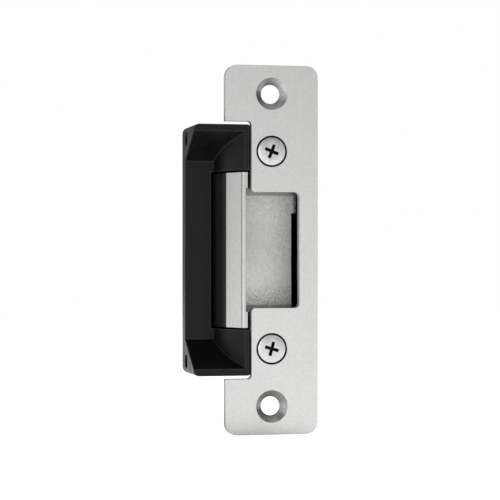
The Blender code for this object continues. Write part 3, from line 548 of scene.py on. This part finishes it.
def sintered_bronze():
    """Oil-filled bronze: warm, with dark open pores."""
    finish = Finish("sintered_bronze", (0.5, 0.31, 0.13), 0.4, 1.0)
    pores = finish.cells(5.0)
    cloud = finish.noise(1.2, 4.0, 0.6)
    tone = finish.blend(finish.span(cloud, 0.35, 0.65), (0.42, 0.25, 0.10), (0.58, 0.38, 0.17))
    finish.colour(finish.blend(finish.span(pores, 0.1, 0.28), (0.10, 0.06, 0.03), tone))
    finish.roughness(finish.span(cloud, 0.3, 0.7, 0.34, 0.5))
    finish.bump(finish.span(pores, 0.1, 0.3), 0.03, 0.7)
    return finish.material


def copper_wire():
    """Enamelled magnet wire: clear coat over copper, with slight changes from turn to turn."""
    finish = Finish("enamelled_copper", (0.6, 0.22, 0.09), 0.3, 1.0, coat=0.6)
    turn = finish.noise((4.0, 0.1, 0.1), 1.0)
    cloud = finish.noise(0.7, 3.0)
    tone = finish.blend(finish.span(turn, 0.35, 0.65), (0.50, 0.17, 0.06), (0.68, 0.28, 0.12))
    finish.colour(finish.blend(finish.span(cloud, 0.5, 0.75), tone, (0.42, 0.13, 0.05)))
    finish.roughness(finish.span(cloud, 0.3, 0.7, 0.22, 0.38))
    return finish.material


def moulded(name, dark, light, low, high, grain=4.0, relief=0.02):
    """Moulded plastic: a fine spark-eroded grain and slow changes of tone and gloss."""
    finish = Finish(name, light, (low + high) / 2)
    cloud = finish.noise(0.3, 4.0, 0.6)
    fine = finish.noise(grain, 3.0, 0.65)
    finish.colour(finish.blend(finish.span(cloud, 0.3, 0.7), dark, light))
    mean = finish.span(cloud, 0.3, 0.7, low, high)
    finish.roughness(finish.plus(mean, finish.span(fine, 0.3, 0.7, -0.04, 0.04)))
    finish.bump(fine, relief, 0.6)
    return finish.material


def laminate():
    """Circuit board: green mask over woven glass, with wide copper tracks faintly through it."""
    finish = Finish("green_laminate", (0.02, 0.12, 0.05), 0.35, coat=0.3)
    threads = 2 * math.pi / 0.55
    waves = [finish.maths("SINE", finish.times(finish.axis(letter), threads)) for letter in "XZ"]
    weave = finish.times(*waves)
    tracks = finish.cells(0.22, randomness=0.6)
    bands = finish.maths("FRACT", finish.times(tracks, 3.0))
    copper = finish.span(bands, 0.42, 0.5)
    tone = finish.blend(finish.span(weave, -1.0, 1.0), (0.012, 0.085, 0.035), (0.018, 0.11, 0.045))
    finish.colour(finish.blend(copper, tone, (0.035, 0.19, 0.075)))
    finish.roughness(finish.span(finish.noise(0.6, 3.0), 0.3, 0.7, 0.28, 0.45))
    finish.bump(weave, 0.006, 0.5)
    finish.bump(copper, 0.03, 0.6)
    return finish.material


def brass():
    """Tinned brass terminals with darker, tarnished patches."""
    finish = Finish("terminal_brass", (0.7, 0.5, 0.2), 0.3, 1.0)
    draw = finish.noise((9.0, 0.6, 9.0), 3.0, 0.6)
    tarnish = finish.noise(0.9, 4.0, 0.6)
    tone = finish.blend(finish.span(draw, 0.3, 0.7), (0.60, 0.42, 0.16), (0.74, 0.55, 0.25))
    finish.colour(finish.blend(finish.span(tarnish, 0.5, 0.75), tone, (0.40, 0.26, 0.10)))
    finish.roughness(finish.span(tarnish, 0.3, 0.7, 0.22, 0.42))
    finish.bump(draw, 0.006, 0.6)
    return finish.material


def make_materials():
    """A material for each slot of the record, and one of painted shade and grime for the screws'
    recesses.
    """
    plastics = {
        "nylon": ("natural_nylon", (0.58, 0.56, 0.48), (0.70, 0.68, 0.60), 0.40, 0.55),
        "black_plastic": ("black_plastic", (0.012, 0.012, 0.013), (0.022, 0.022, 0.024), 0.38, 0.5),
        "red_plastic": (
            "red_plastic", (0.38, 0.016, 0.012), (0.52, 0.03, 0.02), 0.3, 0.42, 6.0, 0.01),
        "blue_resin": (
            "blue_resin", (0.02, 0.06, 0.24), (0.035, 0.10, 0.34), 0.18, 0.3, 1.5, 0.03),
    }
    metals = {
        "stainless": satin_steel, "cast_steel": cast_steel, "zinc_plated": zinc,
        "machined_steel": machined_steel, "spring_steel": spring_steel, "bronze": sintered_bronze,
        "copper_wire": copper_wire, "brass": brass,
    }
    coats = {"black_paint": black_coat, "laminate": laminate, "recess": recess_shade_and_grime}
    made = {slot: make() for slot, make in (metals | coats).items()}
    return made | {slot: moulded(*values) for slot, values in plastics.items()}


# ---------------------------------------------------------------- pieces

def merged(node):
    """A bmesh of a CAD node with its points merged."""
    source = NODES[node].data
    mesh = bmesh.new()
    points = [mesh.verts.new(vertex.co) for vertex in source.vertices]
    for polygon in source.polygons:
        mesh.faces.new([points[i] for i in polygon.vertices])
    bmesh.ops.remove_doubles(mesh, verts=mesh.verts[:], dist=MERGE_DISTANCE * MM)
    return mesh


def softened(node, material, width):
    """A CAD node with its flat faces made whole and its sharp edges rounded by a small width."""
    mesh = merged(node)
    flat = math.radians(0.5)
    bmesh.ops.dissolve_limit(mesh, angle_limit=flat, verts=mesh.verts[:], edges=mesh.edges[:])
    piece = mesh_object(node + "_finish", mesh)
    bevel = piece.modifiers.new("rounded_edges", "BEVEL")
    bevel.width = width * MM
    bevel.segments = 3
    bevel.limit_method = "ANGLE"
    bevel.angle_limit = math.radians(30)
    bevel.miter_outer = "MITER_ARC"
    bevel.harden_normals = True
    bevel.use_clamp_overlap = True
    return stand_in(piece, node, material)


def smoothed(node, material, crossing=None):
    """A CAD wire or lead with its bends and its round section made smooth."""
    mesh = merged(node)
    faces = mesh.faces[:]
    bmesh.ops.join_triangles(mesh, faces=faces, angle_face_threshold=0.6, angle_shape_threshold=0.8)
    piece = mesh_object(node + "_finish", mesh, 80)
    smooth = piece.modifiers.new("smooth_bends", "SUBSURF")
    smooth.levels = smooth.render_levels = 2
    return stand_in(piece, node, material, crossing)


class Place:
    """A round node's own place, where depth runs inwards from its outer face."""

    def __init__(self, node, axis, outward):
        low, high = box_mm(node)
        self.axis, self.outward = "XYZ".index(axis), outward
        self.centre = (low + high) / 2
        self.face = (high if outward > 0 else low)[self.axis]
        self.length = (high - low)[self.axis]
        self.radius = (high - low)[(self.axis + 1) % 3] / 2

    def point(self, a, b, depth):
        found = self.centre.copy()
        found[(self.axis + 1) % 3] += a
        found[(self.axis + 2) % 3] += b
        found[self.axis] = self.face - self.outward * depth
        return found * MM


def skin(mesh, rings, closed=False):
    """Faces from ring to ring, with a face over each end, or on from the last ring to the first."""
    pairs = list(zip(rings, rings[1:]))
    if closed:
        pairs.append((rings[-1], rings[0]))
    else:
        mesh.faces.new(rings[0])
        mesh.faces.new(rings[-1])
    count = len(rings[0])
    for ring, following in pairs:
        for i in range(count):
            j = (i + 1) % count
            mesh.faces.new([ring[i], ring[j], following[j], following[i]])
    bmesh.ops.recalc_face_normals(mesh, faces=mesh.faces[:])


def lathe(mesh, place, rows, sides, closed=False):
    """Faces round an axis. Each row is a depth and a radius, or a depth and a function of angle."""
    rings = []
    for depth, radius in rows:
        ring = []
        for i in range(sides):
            angle = 2 * math.pi * i / sides
            r = radius(angle) if callable(radius) else radius
            point = place.point(r * math.cos(angle), r * math.sin(angle), depth)
            ring.append(mesh.verts.new(point))
        rings.append(ring)
    skin(mesh, rings, closed)


def thread(depth, pitch, crest, root):
    """The radius of a cut thread at one depth, as a function of the angle."""
    def radius(angle):
        phase = (depth / pitch - angle / (2 * math.pi)) % 1
        return root + (crest - root) * (1 - abs(2 * phase - 1))
    return radius


def cross_cutter(place, width, arm, depth, turn):
    """A cross whose arms narrow and shorten towards the bottom, as a driver's tip does."""
    mesh = bmesh.new()
    rings = []
    mouth, tip = (-0.3, width / 2 + 0.06, arm / 2 + 0.03), (depth, width * 0.24, arm * 0.33)
    for level, reach, half in (mouth, tip):
        ring = []
        for quarter in range(4):
            angle = math.radians(turn + 90 * quarter)
            along = Vector((math.cos(angle), math.sin(angle)))
            across = Vector((-along.y, along.x))
            for s, t in ((reach, -half), (reach, half), (half, half)):
                flat = along * s + across * t
                ring.append(mesh.verts.new(place.point(flat.x, flat.y, level)))
        rings.append(ring)
    skin(mesh, rings)
    return mesh_object("cross_cutter", mesh)


def subtract(piece, cutter):
    """Apply a Boolean difference to the piece and drop its cutter."""
    modifier = piece.modifiers.new("cut", "BOOLEAN")
    modifier.operation = "DIFFERENCE"
    modifier.solver = "EXACT"
    modifier.object = cutter
    graph = bpy.context.evaluated_depsgraph_get()
    data = bpy.data.meshes.new_from_object(piece.evaluated_get(graph))
    piece.modifiers.clear()
    piece.data = data
    bpy.data.objects.remove(cutter)


def make_screw(node, axis, outward, shank, pitch, cross, turn, materials):
    """A countersunk screw with a tapered cross recess and a cut thread."""
    place = Place(node, axis, outward)
    r, edge = place.radius, 0.2
    cone = (r - shank) / math.tan(math.radians(HEAD_HALF_ANGLE))
    rows = [(0, r - 0.14), (0.03, r - 0.06), (0.10, r), (edge, r), (edge + cone, shank * NECK)]
    rows += threaded(place, edge + cone + pitch / 4, shank, pitch)
    mesh = bmesh.new()
    lathe(mesh, place, rows, SCREW_SIDES)
    finish_head(mesh_object(node + "_finish", mesh), place, cross, turn, node, materials)


def finish_head(piece, place, cross, turn, node, materials):
    """Cut the cross into a screw's head and give its inside painted shade with grime."""
    subtract(piece, cross_cutter(place, *cross, turn))
    piece.data.shade_smooth()
    piece.data.set_sharp_from_angle(angle=math.radians(28))
    stand_in(piece, node, materials["zinc_plated"])
    piece.data.materials.append(materials["recess"])
    # faces inside the cross get the painted shade and grime material
    for polygon in piece.data.polygons:
        offset = polygon.center / MM - place.centre
        depth = abs(polygon.center[place.axis] / MM - place.face)
        offset[place.axis] = 0
        if 0.02 < depth < cross[2] + 0.05 and offset.length < cross[0] / 2 + 0.1:
            polygon.material_index = 1


def threaded(place, start, shank, pitch):
    """Rows of a cut thread from a depth to a pointed end."""
    rows, depth = [], start
    while depth < place.length - shank * 0.6:
        rows.append((depth, thread(depth, pitch, shank, shank * THREAD_ROOT)))
        depth += pitch / 4
    return rows + [(place.length - shank * 0.3, shank * 0.72), (place.length, shank * 0.45)]


def make_pan_screw(node, axis, outward, head, shank, cross, turn, materials):
    """A small screw with a domed head and a cut thread."""
    place = Place(node, axis, outward)
    r = place.radius
    dome = ((0, 0.5), (0.08, 0.75), (0.3, 0.93), (0.6, 1), (1, 1))
    rows = [(head * depth, r * reach) for depth, reach in dome]
    rows += [(head + 0.01, shank * NECK)] + threaded(place, head + 0.1, shank, 0.4)
    mesh = bmesh.new()
    lathe(mesh, place, rows, SMALL_SCREW_SIDES)
    finish_head(mesh_object(node + "_finish", mesh), place, cross, turn, node, materials)


def make_screws(materials):
    """Every screw, its cross turned its own way. A cross is its width, its arm and its depth."""
    plate, cover, bracket = (5.1, 1.1, 1.9), (1.9, 0.5, 0.7), (1.9, 0.5, 0.6)
    small = (1.3, 0.4, 0.35)
    for node, turn in (("faceplate_screw_upper", 22), ("faceplate_screw_lower", 16)):
        make_screw(node, "Y", -1, 1.95, 0.8, plate, turn, materials)
    for i in range(1, 5):
        make_screw(f"rear_cover_screw_{i}", "Y", 1, 0.95, 0.4, cover, 20 * i, materials)
    for i in (1, 2):
        make_screw(f"solenoid_screw_{i}", "Z", -1, 0.9, 0.4, bracket, 35 * i, materials)
        make_pan_screw(f"lock_switch_screw_{i}", "Y", 1, 0.6, 0.7, small, 25 * i, materials)
        make_pan_screw(f"board_screw_{i}", "Y", 1, 0.7, 0.7, small, 40 * i, materials)
        make_pan_screw(f"keeper_switch_screw_{i}", "Z", 1, 0.5, 0.7, small, 55 * i, materials)


def make_coil(materials):
    """The solenoid's winding, one ridge for each turn of its outer layer."""
    place = Place("solenoid_coil", "X", 1)
    wire = place.length / COIL_TURNS
    valley = place.radius - wire / 2
    rows = [(place.length, COIL_BORE_R), (0, COIL_BORE_R)]
    for turn in range(COIL_TURNS):
        for step in range(5):
            angle = math.pi * step / 5
            along = wire * (turn + 0.5 - 0.5 * math.cos(angle))
            rows.append((along, valley + (wire / 2) * math.sin(angle)))
    rows.append((place.length, valley))
    mesh = bmesh.new()
    lathe(mesh, place, rows, 48, closed=True)
    piece = mesh_object("solenoid_coil_finish", mesh, 60)
    stand_in(piece, "solenoid_coil", materials["copper_wire"])


def make_plunger_spring(materials):
    """The plunger's return spring, with closed end turns."""
    node, sides = "plunger_spring", 10
    low, high = box_mm(node)
    mean = (high.y - low.y) / 2 - PLUNGER_WIRE_R
    centre = (low + high) / 2
    start, end = low.x + PLUNGER_WIRE_R, high.x - PLUNGER_WIRE_R
    steps = int(PLUNGER_TURNS * 28)
    mesh = bmesh.new()
    rings = []
    for i in range(steps + 1):
        along = PLUNGER_TURNS * i / steps
        rise = min(max((along - 0.45) / (PLUNGER_TURNS - 0.9), 0), 1)
        core = Vector((start + (end - start) * rise, centre.y, centre.z))
        turn = 2 * math.pi * along
        outward = Vector((0, math.cos(turn), math.sin(turn)))
        ring = []
        for k in range(sides):
            section = 2 * math.pi * k / sides
            point = core + outward * (mean + PLUNGER_WIRE_R * math.cos(section))
            point.x += PLUNGER_WIRE_R * math.sin(section)
            ring.append(mesh.verts.new(point * MM))
        rings.append(ring)
    skin(mesh, rings)
    piece = stand_in(mesh_object(node + "_finish", mesh, 60), node, materials["spring_steel"])
    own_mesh(piece)


def make_keeper_springs(materials):
    """The keeper's torsion springs, smoothed and fixed in place; they don't wind up as the keeper
    turns.
    """
    for node, side in (("keeper_spring_upper", 1), ("keeper_spring_lower", -1)):
        low, high = box_mm(node)
        middle = (low + high) / 2
        reach = Vector((0, 0, side * ((high.z - low.z) / 2 - TORSION_LEG)))
        crossing = ("housing_unit", "keeper", (middle + reach) * MM, (middle - reach) * MM)
        smoothed(node, materials["spring_steel"], crossing)


def dress(materials):
    """Give every CAD node the material of its slot."""
    for node, slot in SLOTS.items():
        data = NODES[node].data
        data.materials.clear()
        data.materials.append(materials[slot])


# ---------------------------------------------------------------- stage, light and camera

def make_floor():
    """A pale glowing table level with the plate's lower end, with a painted shadow pool in its glow
    close to the part.
    """
    low = CAD_BOX[0].z
    half = FLOOR_HALF * MM
    mesh = bmesh.new()
    corners = [(-half, -half), (half, -half), (half, half), (-half, half)]
    mesh.faces.new([mesh.verts.new((x, y, low)) for x, y in corners])
    floor = mesh_object("floor", mesh)
    finish = Finish("pale_table", neutral(0.9), 0.6)
    finish.shader.inputs["Emission Color"].default_value = (1, 1, 1, 1)
    off_x, off_y = finish.minus(finish.axis("X"), SHADOW_POOL_X), finish.minus(finish.axis("Y"), SHADOW_POOL_Y)
    # painted shadow: the glow that lights the part dims close to it, while the camera sees the
    # table evenly bright
    painted_shadow_pool = finish.span(finish.distance(off_x, off_y), *SHADOW_POOL_RADII, SHADOW_POOL_LEVEL, 1.0)
    seen = finish.node("ShaderNodeLightPath").outputs["Is Camera Ray"]
    finish.link(finish.maths("MAXIMUM", painted_shadow_pool, seen), finish.shader.inputs["Emission Strength"])
    finish.roughness(finish.span(finish.noise(0.02), 0.3, 0.7, 0.55, 0.65))
    floor.data.materials.append(finish.material)


def make_world():
    """A white backdrop to look at, in a room that is itself dim."""
    world = bpy.data.worlds.new("white_room")
    world.use_nodes = True
    tree = world.node_tree
    background = tree.nodes["Background"]
    background.inputs["Color"].default_value = (1, 1, 1, 1)
    seen = tree.nodes.new("ShaderNodeLightPath")
    level = tree.nodes.new("ShaderNodeMapRange")
    level.inputs["To Min"].default_value = ROOM_LEVEL
    level.inputs["To Max"].default_value = 1.0
    tree.links.new(seen.outputs["Is Camera Ray"], level.inputs["Value"])
    tree.links.new(level.outputs["Result"], background.inputs["Strength"])
    bpy.context.scene.world = world


def soft_panel(name, direction, distance, size, level):
    """A square panel, in metres, that faces the part and is as bright as level white walls."""
    data = bpy.data.lights.new(name, "AREA")
    data.size = size
    data.energy = level * math.pi * size ** 2
    lamp = add(name, data)
    lamp.location = Vector(direction).normalized() * distance
    lamp.rotation_mode = "QUATERNION"
    lamp.rotation_quaternion = (-lamp.location).to_track_quat("-Z", "Y")
    lamp.visible_camera = False


def light_part():
    """Panels in front for the plate, at the left for the keeper, above and behind."""
    for name, direction, distance, size, level in (
        ("front_panel", (0.22, -0.97, -0.08), 1.0, 1.1, 0.74),
        ("fill_panel", (-0.35, -0.92, 0.05), 0.9, 0.3, 3.2),
        ("left_panel", (-1.0, 0.03, 0.05), 0.9, 1.0, 0.78),
        ("top_panel", (0.1, -0.2, 1.0), 1.0, 0.7, 0.95),
        ("backdrop_panel", (-0.42, 0.9, 0.05), 1.0, 1.0, 0.30),
        ("rear_panel", (0.35, 0.8, 0.9), 1.1, 0.9, 0.8),
    ):
        soft_panel(name, direction, distance, size, level)


def make_camera():
    """The photo's view: level, from a little to the left, aimed beside the plate's middle."""
    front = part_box("faceplate")[0].y / MM
    azimuth, elevation = math.radians(CAMERA_AZIMUTH), math.radians(CAMERA_ELEVATION)
    back = Vector((
        math.sin(azimuth) * math.cos(elevation),
        -math.cos(azimuth) * math.cos(elevation),
        math.sin(elevation),
    ))
    place = Vector((0, front, 0)) + back * CAMERA_DISTANCE
    target = Vector((CAMERA_TARGET_X, front, 0))
    camera = add("camera", bpy.data.cameras.new("camera"))
    camera.data.lens = CAMERA_LENS
    camera.data.clip_start = 0.01
    camera.location = place * MM
    camera.rotation_mode = "QUATERNION"
    camera.rotation_quaternion = (target - place).to_track_quat("-Z", "Y")
    bpy.context.scene.camera = camera


def main():
    materials = make_materials()
    dress(materials)
    for node, slot in SLOTS.items():
        if node in EDGE_ROUNDING:
            softened(node, materials[slot], EDGE_ROUNDING[node])
    make_screws(materials)
    make_coil(materials)
    make_plunger_spring(materials)
    make_keeper_springs(materials)
    smoothed("coil_lead_red", materials["red_plastic"])
    smoothed("coil_lead_black", materials["black_plastic"])
    make_floor()
    make_world()
    light_part()
    make_camera()
    bpy.context.scene.view_settings.view_transform = "Standard"


main()
